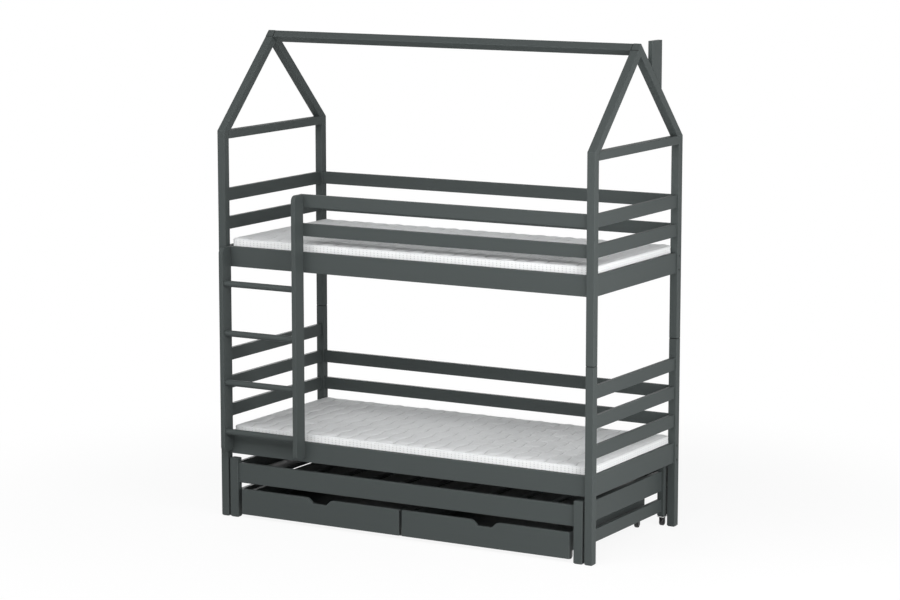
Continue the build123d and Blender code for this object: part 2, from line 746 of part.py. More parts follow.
def make_trundle():
    """Frame of the third bed: legs, rails, end boards, ledges and slats."""
    joints = trundle_bolt_joints()
    leg_front = bar_z(0, trundle_leg_height, x_trundle - leg_broad / 2, y_front + leg_narrow / 2,
                      leg_broad, leg_narrow, post_round, foot_chamfer, join_chamfer)
    leg_rear = bar_z(trundle_foot_height, trundle_leg_height, x_trundle - leg_narrow / 2,
                     y_trundle_rear - leg_broad / 2, leg_narrow, leg_broad, post_round,
                     foot_chamfer, join_chamfer)
    z_rail = trundle_rail_bottom + wide_board / 2
    x_front = x_trundle - leg_broad
    x_rear = x_trundle - leg_narrow
    rail_front = bar_x(-x_front, x_front, y_front_rail, z_rail, board_thick, wide_board, board_round)
    rail_rear = bar_x(-x_rear, x_rear, y_rear_rail, z_rail, board_thick, wide_board, board_round)
    bolts = []
    for bolt, nut, leg_cut, board_cut in joints["front"]:
        leg_front -= leg_cut
        rail_front = rail_front - board_cut - flipped(board_cut)
        bolts += [bolt, nut, flipped(bolt), flipped(nut)]
    for bolt, nut, leg_cut, board_cut in joints["rear"]:
        leg_rear -= leg_cut
        rail_rear = rail_rear - board_cut - flipped(board_cut)
        bolts += [bolt, nut, flipped(bolt), flipped(nut)]
    save("trundle_legs", [leg_front, leg_rear, flipped(leg_front), flipped(leg_rear)])
    save("trundle_side_rails", [rail_front, rail_rear])
    save("trundle_bolts", bolts)
    y0 = y_front + leg_narrow
    y1 = y_trundle_rear - leg_broad
    z_low = trundle_rail_bottom - trundle_board_gap - guard_board / 2
    upper = bar_y(y0, y1, x_trundle_board, z_rail, board_thick, wide_board, board_round)
    lower = bar_y(y0, y1, x_trundle_board, z_low, board_thick, guard_board, board_round)
    save("trundle_end_boards", [upper, lower, flipped(upper), flipped(lower)])
    make_trundle_slats(y_front_rail + board_thick / 2, y_rear_rail - board_thick / 2)
    make_trundle_castors()


def make_trundle_slats(y_inner_front, y_inner_rear):
    """Ledges and slats between the third bed's front and rear rails."""
    x_inner = x_trundle_board - board_thick / 2
    z = trundle_rail_bottom + trundle_ledge_rise + ledge_tall / 2
    x_end = x_trundle - leg_broad - slat_play
    ledges = [bar_x(-x_end, x_end, y, z, ledge_wide, ledge_tall, slat_round)
              for y in (y_inner_front + ledge_wide / 2, y_inner_rear - ledge_wide / 2)]
    save("trundle_ledges", ledges)
    slats = slat_row(trundle_slat_count, x_inner, trundle_slat_end_gap, y_inner_front + slat_play,
                     y_inner_rear - slat_play, z + ledge_tall / 2 + slat_thick)
    save("trundle_slats", slats)


def make_trundle_castors():
    """A fixed castor under each rear leg of the third bed."""
    x = x_trundle - leg_narrow / 2
    y = y_trundle_rear - leg_broad / 2
    plate_wide = leg_narrow - 2 * castor_plate_margin
    plate_deep = leg_broad - 2 * castor_plate_margin
    z_plate = trundle_castor_height + castor_plate_thick / 2
    plate = Pos(x, y, z_plate) * Box(plate_wide, plate_deep, castor_plate_thick)
    holder = fork(x, y, trundle_wheel_diameter, trundle_wheel_wide, trundle_castor_height)
    save("trundle_castor_plates", [plate, flipped(plate)])
    save("trundle_castor_forks", [holder, flipped(holder)])
    roller = wheel(x, y, trundle_wheel_diameter, trundle_wheel_wide)
    for side in SIDES:
        save(f"trundle_wheel_{side}", [at_end(roller, side)])


def drawer_front(x0):
    """Drawer front with a hand notch cut into the middle of its top edge."""
    x1 = x0 + drawer_front_wide
    x_mid = (x0 + x1) / 2
    z0 = drawer_front_lift
    z1 = drawer_front_top
    z_floor = z1 - notch_deep
    lip = notch_top_wide / 2
    floor = notch_floor_wide / 2
    points = [(x0, z0), (x1, z0), (x1, z1), (x_mid + lip, z1), (x_mid + floor, z_floor),
              (x_mid - floor, z_floor), (x_mid - lip, z1), (x0, z1)]
    start = Plane(origin=(0, y_drawer_box, 0), x_dir=(1, 0, 0), z_dir=(0, -1, 0))
    face = make_face(start * Polyline(*points, close=True))
    lips = [v for v in face.vertices() if abs(abs(v.X - x_mid) - lip) < board_round]
    face = fillet(lips, notch_lip_round)
    floors = [v for v in face.vertices() if abs(abs(v.X - x_mid) - floor) < board_round]
    face = fillet(floors, notch_floor_round)
    body = extrude(face, drawer_front_thick, dir=(0, -1, 0))
    rim = [e for e in body.edges() if abs(e.center().Y - y_front) < board_round]
    return fillet(rim, board_round)


def drawer_box(x0):
    """Bottom, two sides and a back behind the drawer front."""
    x_a = x0 + drawer_box_inset
    x_b = x0 + drawer_front_wide - drawer_box_inset
    y_a = y_drawer_box
    y_b = y_drawer_back
    z_a = drawer_castor_height
    z_b = z_a + drawer_bottom_thick
    tall = drawer_front_top - drawer_side_drop - z_b
    z_mid = z_b + tall / 2
    middle = ((x_a + x_b) / 2, (y_a + y_b) / 2)
    bottom = Pos(*middle, z_a + drawer_bottom_thick / 2) * Box(x_b - x_a, y_b - y_a,
                                                              drawer_bottom_thick)
    half = drawer_side_thick / 2
    sides = [Pos(x, middle[1], z_mid) * Box(drawer_side_thick, y_b - y_a, tall)
             for x in (x_a + half, x_b - half)]
    back = Pos(middle[0], y_b - half, z_mid) * Box(x_b - x_a - 4 * half, drawer_side_thick, tall)
    return [bottom, *sides, back]


def make_drawers():
    """Two drawers side by side, each on four fixed castors."""
    starts = {"left": -drawer_parting / 2 - drawer_front_wide, "right": drawer_parting / 2}
    for side, x0 in starts.items():
        save(f"{side}_drawer_front", [drawer_front(x0)])
        save(f"{side}_drawer_box", drawer_box(x0))
        reach = drawer_box_inset + drawer_castor_from_side
        x_places = (("left", x0 + reach), ("right", x0 + drawer_front_wide - reach))
        y_places = (("front", y_drawer_box + drawer_castor_from_end),
                    ("rear", y_drawer_back - drawer_castor_from_end))
        forks = []
        for x_name, x in x_places:
            for y_name, y in y_places:
                forks.append(fork(x, y, drawer_wheel_diameter, drawer_wheel_wide,
                                  drawer_castor_height))
                roller = wheel(x, y, drawer_wheel_diameter, drawer_wheel_wide)
                save(f"{side}_drawer_wheel_{y_name}_{x_name}", [roller])
        save(f"{side}_drawer_forks", forks)


ladder_joints = ladder_screw_joints()
ladder_screw_cuts = [cut for screw, cut in ladder_joints]
frame_bolts += [screw for screw, cut in ladder_joints]
lay_out_side_bolts()
lay_out_guard_dowels()
lay_out_end_dowels()
lay_out_post_pins()
make_roof()
make_posts()
make_side_boards()
make_end_boards()
make_ladder()
make_slats()
make_mattresses()
make_trundle()
make_drawers()
save("frame_bolts", frame_bolts)
save("bolt_plugs", bolt_plugs)
save("frame_dowels", frame_dowels)
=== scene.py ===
"""Looks, mattresses and studio for a graphite house bunk bed with a roll-out bed and drawers.

All lengths are in metres, in the bed's own frame: +X along the bed towards the gable with
the chimney, -Y to the front where the ladder stands, +Z up from the floor.
"""

import math

import bpy
import numpy as np
from bpy.props import FloatProperty, FloatVectorProperty, IntProperty, PointerProperty
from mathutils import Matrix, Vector


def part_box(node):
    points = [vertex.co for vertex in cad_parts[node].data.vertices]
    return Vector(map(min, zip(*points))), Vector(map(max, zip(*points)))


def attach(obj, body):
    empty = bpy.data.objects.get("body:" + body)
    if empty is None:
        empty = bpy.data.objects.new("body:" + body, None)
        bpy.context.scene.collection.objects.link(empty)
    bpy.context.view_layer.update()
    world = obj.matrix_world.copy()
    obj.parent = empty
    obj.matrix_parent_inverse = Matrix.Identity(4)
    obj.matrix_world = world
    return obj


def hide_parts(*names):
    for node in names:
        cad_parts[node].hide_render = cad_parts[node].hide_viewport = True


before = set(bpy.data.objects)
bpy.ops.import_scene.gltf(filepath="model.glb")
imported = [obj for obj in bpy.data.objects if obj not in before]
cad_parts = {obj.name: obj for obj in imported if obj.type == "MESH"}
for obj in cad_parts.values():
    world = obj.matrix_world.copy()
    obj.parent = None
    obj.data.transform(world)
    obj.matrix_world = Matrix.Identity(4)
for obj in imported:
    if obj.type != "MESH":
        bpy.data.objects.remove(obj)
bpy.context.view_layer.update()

bl_info = {
    "name": "House bunk bed",
    "version": (1, 0, 0),
    "blender": (4, 5, 0),
    "location": "3D View > Sidebar > Bunk Bed",
    "description": "Painted wood, quilted mattresses and studio for a house bunk bed",
    "category": "Object",
}

# Which way the grain runs in each wooden piece
GRAIN_ALONG = {
    "x": ("lower_rail_front", "lower_rail_rear", "upper_rail_front", "upper_rail_rear",
          "lower_back_guards", "upper_back_guards", "upper_front_guards",
          "slat_ledges", "trundle_ledges", "trundle_side_rails", "ladder_rungs",
          "left_drawer_front", "right_drawer_front", "bolt_plugs"),
    "y": ("lower_end_boards_left", "lower_end_boards_right", "upper_end_boards_left",
          "upper_end_boards_right", "gable_tie_left", "gable_tie_right",
          "trundle_end_boards"),
    "z": ("ladder_stile_left", "ladder_stile_right", "chimney_board", "trundle_legs"),
}
POSTS = tuple(f"{level}_post_{depth}_{side}" for level in ("lower", "upper")
              for depth in ("front", "rear") for side in ("left", "right"))
RAFTERS = ("rafters_left", "rafters_right")
SLATS = ("lower_slats", "upper_slats", "trundle_slats")
DRAWER_BOXES = ("left_drawer_box", "right_drawer_box")
FORKS = ("trundle_castor_forks", "left_drawer_forks", "right_drawer_forks")
BOLTS = ("frame_bolts", "trundle_bolts")

# Streaks of grain to a metre, along the grain and both ways across it
FINE_STREAKS = (5.0, 240.0, 240.0)
BROAD_STREAKS = (1.2, 16.0, 16.0)
# How much the fine streaks count in the tone beside the broad ones, and in the height
# beside the speckle of the spray
FINE_IN_TONE = 0.45
FINE_IN_HEIGHT = 0.9
# Specks of the spray and patches of wear to a metre
SPRAY_SPECKS = 900.0
WEAR_PATCHES = 34.0
# Roughness of the paint over its broad streaks, how much of it wear takes off, and its gloss
PAINT_ROUGHNESS = (0.50, 0.62)
WEAR_POLISH = 0.25
PAINT_GLOSS = 0.14
# How far from an edge its wear reaches, how fast it grows with the turn of the normal, and
# how many points round about give that normal
EDGE_REACH = 0.0035
EDGE_GAIN = 5.0
EDGE_SAMPLES = 4
# Distances from a joint up to which the paint is darkest and from which it keeps its tone,
# and its share of the tone at the two
JOINT_SHADE = (0.0010, 0.0026, 0.10, 1.0)
# Side of a square whose diagonal is 1, for turns by half a right angle
DIAGONAL = math.sqrt(0.5)
# Clouds in the gloss of the fittings, to a metre
GLOSS_CLOUDS = 160.0

# How steeply a dent in the cloth falls at its rim, clouds and fuzz of the cloth to a metre,
# how much the clouds change its tone, and how much the dents count in its height
DENT_POWER = 3.0
CLOTH_CLOUDS = 14.0
CLOTH_FUZZ = 700.0
CLOUD_TONE = 0.05
DENT_IN_HEIGHT = 0.8
CLOTH_SURFACE = {"Roughness": 0.88, "Specular IOR Level": 0.2, "Sheen Weight": 0.12,
                 "Sheen Roughness": 0.5}
# Painted shade in the quilting seams: how much darker it makes the cloth in a seam's crease, and how
# far it reaches as a share of a puff
SEAM_SHADE_TONE = 0.30
SEAM_SHADE_REACH_SHARE = 0.05

# Where the mesh lines lie across a puff of the quilting, from seam to seam
PUFF_STEPS = (0.0, 0.022, 0.055, 0.12, 0.25, 0.42, 0.58, 0.75, 0.88, 0.945, 0.978, 1.0)
# Where they lie round a rounded edge, as shares of the quarter turn, and the border's rows
EDGE_STEPS = (0.25, 0.5, 0.75, 1.0)
BORDER_ROWS = 8
# How much the seams' waves start out of step, and how fast that changes from seam to seam
SEAM_SHIFT = 0.35
SEAM_SHIFT_TURN = 1.7
# Heights of the gathers at the seams and of the broad waves over the cover, and how fast
# the gathers fade out on a puff
GATHER_HEIGHT = 0.00042
WAVE_HEIGHT = 0.00022
GATHER_FADE = 5.0
# Gathers: radians to a metre of seam, their weight, and how much the drift shifts them
GATHERS = ((430.0, 1.0, 1.0), (251.0, 0.6, -1.7), (683.0, 0.5, 0.8))
# Drift of the gathers: its weight, and radians to a metre along and across the mattress
GATHER_DRIFT = ((2.1, 23.0, 5.0), (1.3, 41.0, -9.0))
# Broad waves: radians to a metre along and across the mattress, and where they start
WAVES = ((31.0, 17.0, 0.3), (-23.0, 41.0, 1.1), (57.0, -29.0, 2.3), (12.0, 67.0, 4.0),
         (88.0, 21.0, 5.2), (-71.0, 63.0, 0.7))
# How far the broad waves bend, and how fast along and across, as shares of the waves' pace
# the other way
WAVE_BEND = 1.7
WAVE_BEND_SHARES = (0.6, 0.5)
# How far the filling may push the cover sideways and down, as shares of the puff's height
SIDE_SHARE = 0.25
SINK_SHARE = 0.1
# How far the bottom cover is drawn up in its seams, and how soon from the mattress's edge
# the puckers and the bottom seams have their full height
BOTTOM_SEAM = 0.0015
EDGE_RISE = 30
QUICK_PUFF_POWER = 0.6
QUICK_SIDE_REACH = 0.012
# How deep the piping sits in the border's bulge, as a share of its radius
PIPING_SUNK_SHARE = 0.3

# How far the floor reaches, how far it lies below the bed's feet, and its roughness
FLOOR_REACH = 120.0
FLOOR_DROP = 0.0003
FLOOR_ROUGHNESS = 0.9
# Share of white that the floor shows near the bed, and where it fades to all white
FLOOR_GLOW = 0.90
FLOOR_FADE = (1.5, 3.2)
SKY_COLOUR = (0.97, 0.985, 1.0, 1.0)
WHITE = (1.0, 1.0, 1.0, 1.0)
# The camera's sensor in millimetres, and how far the camera sees
SENSOR_WIDTH = 36.0
CAMERA_REACH = 400.0


class BedFinish(bpy.types.PropertyGroup):
    """Colours and surface of the bed's wood and fittings."""

    paint: FloatVectorProperty(
        name="Paint", description="Graphite paint on posts and boards", subtype="COLOR",
        default=(0.059, 0.0685, 0.0675), min=0.0, max=1.0)
    # Painted shade: a darker copy of the graphite paint for the slats and drawer insides, which sit
    # in shadow under the bunks
    inside_paint_and_shade: FloatVectorProperty(
        name="Inside paint and shade", description="Paint on slats and drawer insides", subtype="COLOR",
        default=(0.046, 0.054, 0.053), min=0.0, max=1.0)
    grain_tone: FloatProperty(
        name="Grain tone", description="How much the grain changes the paint's tone",
        subtype="FACTOR", default=0.055, min=0.0, max=1.0)
    edge_wear: FloatProperty(
        name="Edge wear", description="How much paler the paint is on its edges",
        subtype="FACTOR", default=0.50, min=0.0, max=1.0)
    grain_depth: FloatProperty(
        name="Grain depth", description="Depth of the grain under the paint", unit="LENGTH",
        default=0.00006, min=0.0, precision=5)
    castor_black: FloatVectorProperty(
        name="Castor", description="Plastic of castor forks and wheels", subtype="COLOR",
        default=(0.007, 0.007, 0.008), min=0.0, max=1.0)
    zinc: FloatVectorProperty(
        name="Zinc", description="Plates on top of the castors", subtype="COLOR",
        default=(0.78, 0.78, 0.77), min=0.0, max=1.0)
    bolt_black: FloatVectorProperty(
        name="Bolts", description="Blackened bolt heads", subtype="COLOR",
        default=(0.020, 0.021, 0.022), min=0.0, max=1.0)
    beech: FloatVectorProperty(
        name="Beech", description="Raw wood of the dowels", subtype="COLOR",
        default=(0.55, 0.38, 0.22), min=0.0, max=1.0)


class MattressForm(bpy.types.PropertyGroup):
    """Form and cover of the two mattresses."""

    cover: FloatVectorProperty(
        name="Cover", description="Knitted top cover", subtype="COLOR",
        default=(0.78, 0.79, 0.795), min=0.0, max=1.0)
    border: FloatVectorProperty(
        name="Border", description="Perforated side border", subtype="COLOR",
        default=(0.845, 0.855, 0.855), min=0.0, max=1.0)
    quilt_pitch: FloatProperty(
        name="Quilt pitch", description="Distance between quilting seams", unit="LENGTH",
        default=0.080, min=0.02)
    quilt_wave: FloatProperty(
        name="Quilt wave", description="Length of a seam's wave", unit="LENGTH",
        default=0.145, min=0.02)
    quilt_swing: FloatProperty(
        name="Quilt swing", description="How far a seam swings to each side", unit="LENGTH",
        default=0.0068, min=0.0)
    puff: FloatProperty(
        name="Puff", description="Height of the padding between seams", unit="LENGTH",
        default=0.0048, min=0.0, precision=4)
    crown: FloatProperty(
        name="Crown", description="How much the middle stands above the edges", unit="LENGTH",
        default=0.0035, min=0.0, precision=4)
    edge: FloatProperty(
        name="Edge", description="Roundness of the top and bottom edges", unit="LENGTH",
        default=0.006, min=0.001, precision=4)
    plan_corner: FloatProperty(
        name="Corner", description="Roundness of the corners seen from above", unit="LENGTH",
        default=0.012, min=0.001, precision=4)
    scallop: FloatProperty(
        name="Scallop", description="How far the seams draw the long edges in", unit="LENGTH",
        default=0.003, min=0.0, precision=4)
    bulge: FloatProperty(
        name="Bulge", description="How far the border's middle stands out", unit="LENGTH",
        default=0.0025, min=0.0, precision=4)
    piping: FloatProperty(
        name="Piping", description="Radius of the piping in the edge seams", unit="LENGTH",
        default=0.0018, min=0.0005, precision=4)
    pressure: FloatProperty(
        name="Pressure", description="Air pressure that fills the cover between its seams",
        default=7.0, min=0.0)
    fullness: FloatProperty(
        name="Fullness", description="How much wider the cover is cut than the mattress",
        subtype="FACTOR", default=0.035, min=0.0, max=0.2)
    frames: IntProperty(
        name="Frames", description="Steps of the filling simulation", default=16, min=1)
    steps_across: IntProperty(
        name="Steps across", description="Mesh steps across the mattress", default=170, min=20)


class StudioSetup(bpy.types.PropertyGroup):
    """Floor, light and camera."""

    floor: FloatVectorProperty(
        name="Floor", description="Pale studio floor", subtype="COLOR",
        default=(0.95, 0.95, 0.95), min=0.0, max=1.0)
    floor_bounce: FloatVectorProperty(
        name="Floor bounce", description="What the floor throws back on the bed",
        subtype="COLOR", default=(0.45, 0.45, 0.45), min=0.0, max=1.0)
    ambient: FloatProperty(
        name="Ambient", description="Strength of the light from all round",
        default=0.1, min=0.0)
    sky: FloatProperty(
        name="Sky", description="Light from straight above on top of the ambient one",
        default=0.05, min=0.0)
    front_light: FloatProperty(
        name="Front light", description="Power of the high softbox in front", unit="POWER",
        default=242.0, min=0.0)
    low_light: FloatProperty(
        name="Low light", description="Power of the low softbox in front", unit="POWER",
        default=32.0, min=0.0)
    side_light: FloatProperty(
        name="Side light", description="Power of the softbox at the right", unit="POWER",
        default=155.0, min=0.0)
    back_light: FloatProperty(
        name="Back light", description="Power of the softbox behind at the left", unit="POWER",
        default=80.0, min=0.0)
    top_light: FloatProperty(
        name="Top light", description="Power of the softbox overhead", unit="POWER",
        default=8.0, min=0.0)
    camera_place: FloatVectorProperty(
        name="Camera", description="Where the camera stands", subtype="TRANSLATION",
        unit="LENGTH", default=(6.5887, -11.4547, 3.1672))
    camera_turn: FloatProperty(
        name="Turn", description="Camera's turn about the vertical", subtype="ANGLE",
        default=0.52017)
    camera_dip: FloatProperty(
        name="Dip", description="How far the camera looks down", subtype="ANGLE",
        default=math.radians(9.01))
    lens: FloatProperty(
        name="Lens", description="Focal length in millimetres on a 36 mm sensor",
        default=113.395, min=10.0)


# Small helpers for node trees


def link_in(tree, socket, value):
    """Links a socket to a value that is itself a socket, or writes the value on it."""
    if isinstance(value, bpy.types.NodeSocket):
        tree.links.new(value, socket)
    else:
        socket.default_value = value


def math_node(tree, operation, first, second=0.0, clamp=False):
    """A math node, as its output."""
    node = tree.nodes.new("ShaderNodeMath")
    node.operation = operation
    node.use_clamp = clamp
    link_in(tree, node.inputs[0], first)
    link_in(tree, node.inputs[1], second)
    return node.outputs[0]


def vector_node(tree, operation, first, second=(0.0, 0.0, 0.0), output="Vector"):
    """A vector math node, as its output: a vector, or a number with output as Value."""
    node = tree.nodes.new("ShaderNodeVectorMath")
    node.operation = operation
    link_in(tree, node.inputs[0], first)
    link_in(tree, node.inputs[1], second)
    return node.outputs[output]


def noise_node(tree, place, scale, detail=2.0, roughness=0.5):
    """A noise texture at a place, as its value."""
    node = tree.nodes.new("ShaderNodeTexNoise")
    link_in(tree, node.inputs["Vector"], place)
    node.inputs["Scale"].default_value = scale
    node.inputs["Detail"].default_value = detail
    node.inputs["Roughness"].default_value = roughness
    return node.outputs["Fac"]


def blend(tree, first, second, share):
    """A share of one value and the rest of another, added up, as an output."""
    return math_node(tree, "ADD", math_node(tree, "MULTIPLY", first, share),
                     math_node(tree, "MULTIPLY", second, 1.0 - share))


def mix_colours(tree, share, first, second):
    """Two colours mixed by a share, as an output."""
    node = tree.nodes.new("ShaderNodeMix")
    node.data_type = "RGBA"
    factor, colour_a, colour_b = node.inputs[0], node.inputs[6], node.inputs[7]
    link_in(tree, factor, share)
    link_in(tree, colour_a, first)
    link_in(tree, colour_b, second)
    return node.outputs[2]


def remap(tree, value, limits, kind="LINEAR"):
    """A value carried from one range into another, as an output.

    limits are the ends of the value's range and then the ends of the new one.
    """
    node = tree.nodes.new("ShaderNodeMapRange")
    node.interpolation_type = kind
    link_in(tree, node.inputs["Value"], value)
    for label, limit in zip(("From Min", "From Max", "To Min", "To Max"), limits):
        node.inputs[label].default_value = limit
    return node.outputs["Result"]


def object_place(tree):
    """Where a point lies in its object, as an output."""
    return tree.nodes.new("ShaderNodeTexCoord").outputs["Object"]


def split_axes(tree, place):
    """The three coordinates of a place, as outputs."""
    node = tree.nodes.new("ShaderNodeSeparateXYZ")
    tree.links.new(place, node.inputs[0])
    return node.outputs


def mix_shaders(tree, share, first, second, surface):
    """Two shaders mixed by a share and led to a surface socket."""
    mix = tree.nodes.new("ShaderNodeMixShader")
    tree.links.new(share, mix.inputs[0])
    tree.links.new(first.outputs[0], mix.inputs[1])
    tree.links.new(second.outputs[0], mix.inputs[2])
    tree.links.new(mix.outputs[0], surface)


def new_group(name, inputs, outputs):
    """An empty shader node group with named sockets, and its two end nodes."""
    group = bpy.data.node_groups.new(name, "ShaderNodeTree")
    for label, kind, value in inputs:
        socket = group.interface.new_socket(name=label, in_out="INPUT", socket_type=kind)
        if value is not None:
            socket.default_value = value
    for label, kind in outputs:
        group.interface.new_socket(name=label, in_out="OUTPUT", socket_type=kind)
    start = group.nodes.new("NodeGroupInput")
    end = group.nodes.new("NodeGroupOutput")
    return group, start, end


def place_group(tree, group, values):
    """A node group in a material, with its own values."""
    node = tree.nodes.new("ShaderNodeGroup")
    node.node_tree = group
    for label, value in values.items():
        link_in(tree, node.inputs[label], value)
    return node


def new_material(name):
    """A material with one Principled BSDF, as material, tree and shader."""
    material = bpy.data.materials.new(name)
    material.use_nodes = True
    tree = material.node_tree
    shader = tree.nodes["Principled BSDF"]
    return material, tree, shader


def bump(tree, shader, height, distance):
    """A bump of a height map, in metres, on a shader."""
    node = tree.nodes.new("ShaderNodeBump")
    node.inputs["Distance"].default_value = distance
    node.inputs["Strength"].default_value = 1.0
    tree.links.new(height, node.inputs["Height"])
    tree.links.new(node.outputs["Normal"], shader.inputs["Normal"])


# Paint, cloth and fittings


def painted_grain_group():
    """Paint over wood: faint streaks along the grain, in tone, roughness and height.

    Place has its X axis along the grain, in metres. Edge is 1 on the edges, where handling
    has polished the paint and made it paler by the share Wear.
    """
    name = "Painted grain"
    if name in bpy.data.node_groups:
        return bpy.data.node_groups[name]
    group, start, end = new_group(
        name,
        (("Place", "NodeSocketVector", None), ("Paint", "NodeSocketColor", (0.1, 0.1, 0.1, 1.0)),
         ("Tone", "NodeSocketFloat", 0.1), ("Edge", "NodeSocketFloat", 0.0),
         ("Wear", "NodeSocketFloat", 0.3)),
        (("Color", "NodeSocketColor"), ("Roughness", "NodeSocketFloat"),
         ("Height", "NodeSocketFloat")))
    place = start.outputs["Place"]
    fine = noise_node(group, vector_node(group, "MULTIPLY", place, FINE_STREAKS), 1.0, detail=3.0)
    broad = noise_node(group, vector_node(group, "MULTIPLY", place, BROAD_STREAKS), 1.0)
    spray = noise_node(group, place, SPRAY_SPECKS, detail=1.0)
    streak = blend(group, fine, broad, FINE_IN_TONE)
    shift = math_node(group, "MULTIPLY", math_node(group, "SUBTRACT", streak, 0.5),
                      start.outputs["Tone"])
    gain = math_node(group, "ADD", math_node(group, "MULTIPLY", shift, 2.0), 1.0)
    patches = noise_node(group, place, WEAR_PATCHES, detail=3.0, roughness=0.6)
    worn = math_node(group, "MULTIPLY", start.outputs["Edge"],
                     math_node(group, "MULTIPLY", patches, start.outputs["Wear"]))
    toned = vector_node(group, "MULTIPLY", start.outputs["Paint"],
                        math_node(group, "ADD", gain, worn))
    group.links.new(toned, end.inputs["Color"])
    matt = math_node(group, "SUBTRACT", remap(group, broad, (0.0, 1.0, *PAINT_ROUGHNESS)),
                     math_node(group, "MULTIPLY", worn, WEAR_POLISH))
    group.links.new(matt, end.inputs["Roughness"])
    group.links.new(blend(group, fine, spray, FINE_IN_HEIGHT), end.inputs["Height"])
    return group


def dotted_cloth_group():
    """Cloth with rows of small dents or holes on a square grid, in tone and height.

    The rows follow Along and Across, which are lengths over the cloth in metres. Seam Shade is 1
    in the quilting seams, where the shade of their creases is painted into the cloth, and 0 away
    from them.
    """
    name = "Dotted cloth"
    if name in bpy.data.node_groups:
        return bpy.data.node_groups[name]
    group, start, end = new_group(
        name,
        (("Along", "NodeSocketFloat", 0.0), ("Across", "NodeSocketFloat", 0.0),
         ("Place", "NodeSocketVector", None), ("Cloth", "NodeSocketColor", (0.8, 0.8, 0.8, 1.0)),
         ("Pitch Along", "NodeSocketFloat", 0.01), ("Pitch Across", "NodeSocketFloat", 0.01),
         ("Dot", "NodeSocketFloat", 0.003), ("Dot Tone", "NodeSocketFloat", 0.2),
         ("Seam", "NodeSocketFloat", 0.0)),
        (("Color", "NodeSocketColor"), ("Height", "NodeSocketFloat")))
    squares = []
    for side in ("Along", "Across"):
        pitch = start.outputs[f"Pitch {side}"]
        step = math_node(group, "FRACT", math_node(group, "DIVIDE", start.outputs[side], pitch))
        off = math_node(group, "MULTIPLY", math_node(group, "SUBTRACT", step, 0.5), pitch)
        squares.append(math_node(group, "MULTIPLY", off, off))
    away = math_node(group, "SQRT", math_node(group, "ADD", *squares))
    ring = math_node(group, "DIVIDE", away, start.outputs["Dot"])
    flat = math_node(group, "POWER", math_node(group, "MINIMUM", ring, 1.0), DENT_POWER)
    dent = math_node(group, "SUBTRACT", 1.0, flat)
    place = start.outputs["Place"]
    cloud = noise_node(group, place, CLOTH_CLOUDS, detail=3.0)
    fuzz = noise_node(group, place, CLOTH_FUZZ)
    mottle = math_node(group, "MULTIPLY", math_node(group, "SUBTRACT", cloud, 0.5), CLOUD_TONE)
    dotted = math_node(group, "MULTIPLY", dent, start.outputs["Dot Tone"])
    # Painted shade: the cloth is darkened in the seams' creases, where shade falls
    seam_shade = math_node(group, "MULTIPLY", start.outputs["Seam"], SEAM_SHADE_TONE)
    darker = math_node(group, "ADD", dotted, seam_shade)
    shade = math_node(group, "ADD", mottle, math_node(group, "SUBTRACT", 1.0, darker))
    group.links.new(vector_node(group, "MULTIPLY", start.outputs["Cloth"], shade),
                    end.inputs["Color"])
    group.links.new(blend(group, flat, fuzz, DENT_IN_HEIGHT), end.inputs["Height"])
    return group


def grain_place(tree, way):
    """The object place with its X axis turned along the grain, as an output."""
    x, y, z = split_axes(tree, object_place(tree))
    if way == "slope":
        low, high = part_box("rafters_right")
        off_ridge = math_node(tree, "SUBTRACT", y, (low.y + high.y) / 2)
        from_ridge = math_node(tree, "ABSOLUTE", off_ridge)
        along = math_node(tree, "SUBTRACT", z, from_ridge)
        across = math_node(tree, "ADD", z, from_ridge)
        order = (math_node(tree, "MULTIPLY", along, DIAGONAL),
                 math_node(tree, "MULTIPLY", across, DIAGONAL), x)
    else:
        order = {"x": (x, y, z), "y": (y, x, z), "z": (z, x, y)}[way]
    join = tree.nodes.new("ShaderNodeCombineXYZ")
    for value, socket in zip(order, join.inputs):
        tree.links.new(value, socket)
    return join.outputs[0]


def edge_mask(tree):
    """1 on the edges and 0 on the flats, from the normals round each point, as an output."""
    bevel = tree.nodes.new("ShaderNodeBevel")
    bevel.samples = EDGE_SAMPLES
    bevel.inputs["Radius"].default_value = EDGE_REACH
    normal = tree.nodes.new("ShaderNodeNewGeometry").outputs["Normal"]
    likeness = vector_node(tree, "DOT_PRODUCT", bevel.outputs["Normal"], normal, output="Value")
    turned = math_node(tree, "SUBTRACT", 1.0, likeness)
    return math_node(tree, "MULTIPLY", turned, EDGE_GAIN, clamp=True)


def from_post_joint(tree):
    """How far a point lies above or below the joint of the post pieces, as an output."""
    z = split_axes(tree, object_place(tree))["Z"]
    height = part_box("upper_post_front_left")[0].z
    return math_node(tree, "ABSOLUTE", math_node(tree, "SUBTRACT", z, height))


def from_beam_end(tree):
    """How far a point lies inside the nearer end of the ridge beam, as an output."""
    x = split_axes(tree, object_place(tree))["X"]
    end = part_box("ridge_beam")[1].x
    return math_node(tree, "SUBTRACT", end, math_node(tree, "ABSOLUTE", x))


def from_rafter_joints(tree):
    """How far a point on the front slope lies from the joints at the ridge, as an output.

    One joint lies level, where the front rafter butts against the rear one, a rafter's
    width below the ridge. The other goes up from it, beside the end of the ridge beam.
    """
    x, y, z = split_axes(tree, object_place(tree))
    low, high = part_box("rafters_right")
    width = high.x - low.x
    forward = math_node(tree, "SUBTRACT", (low.y + high.y) / 2, y)
    down = math_node(tree, "SUBTRACT", high.z, z)
    along = math_node(tree, "MULTIPLY", math_node(tree, "ADD", down, forward), DIAGONAL)
    deep = math_node(tree, "MULTIPLY", math_node(tree, "SUBTRACT", down, forward), DIAGONAL)
    below = math_node(tree, "SUBTRACT", along, width)
    beside = math_node(tree, "SUBTRACT", math_node(tree, "ABSOLUTE", x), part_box("ridge_beam")[1].x)
    level = math_node(tree, "ABSOLUTE", below)
    upright = math_node(tree, "MAXIMUM", below, beside)
    return math_node(tree, "MAXIMUM", math_node(tree, "MINIMUM", level, upright), deep)


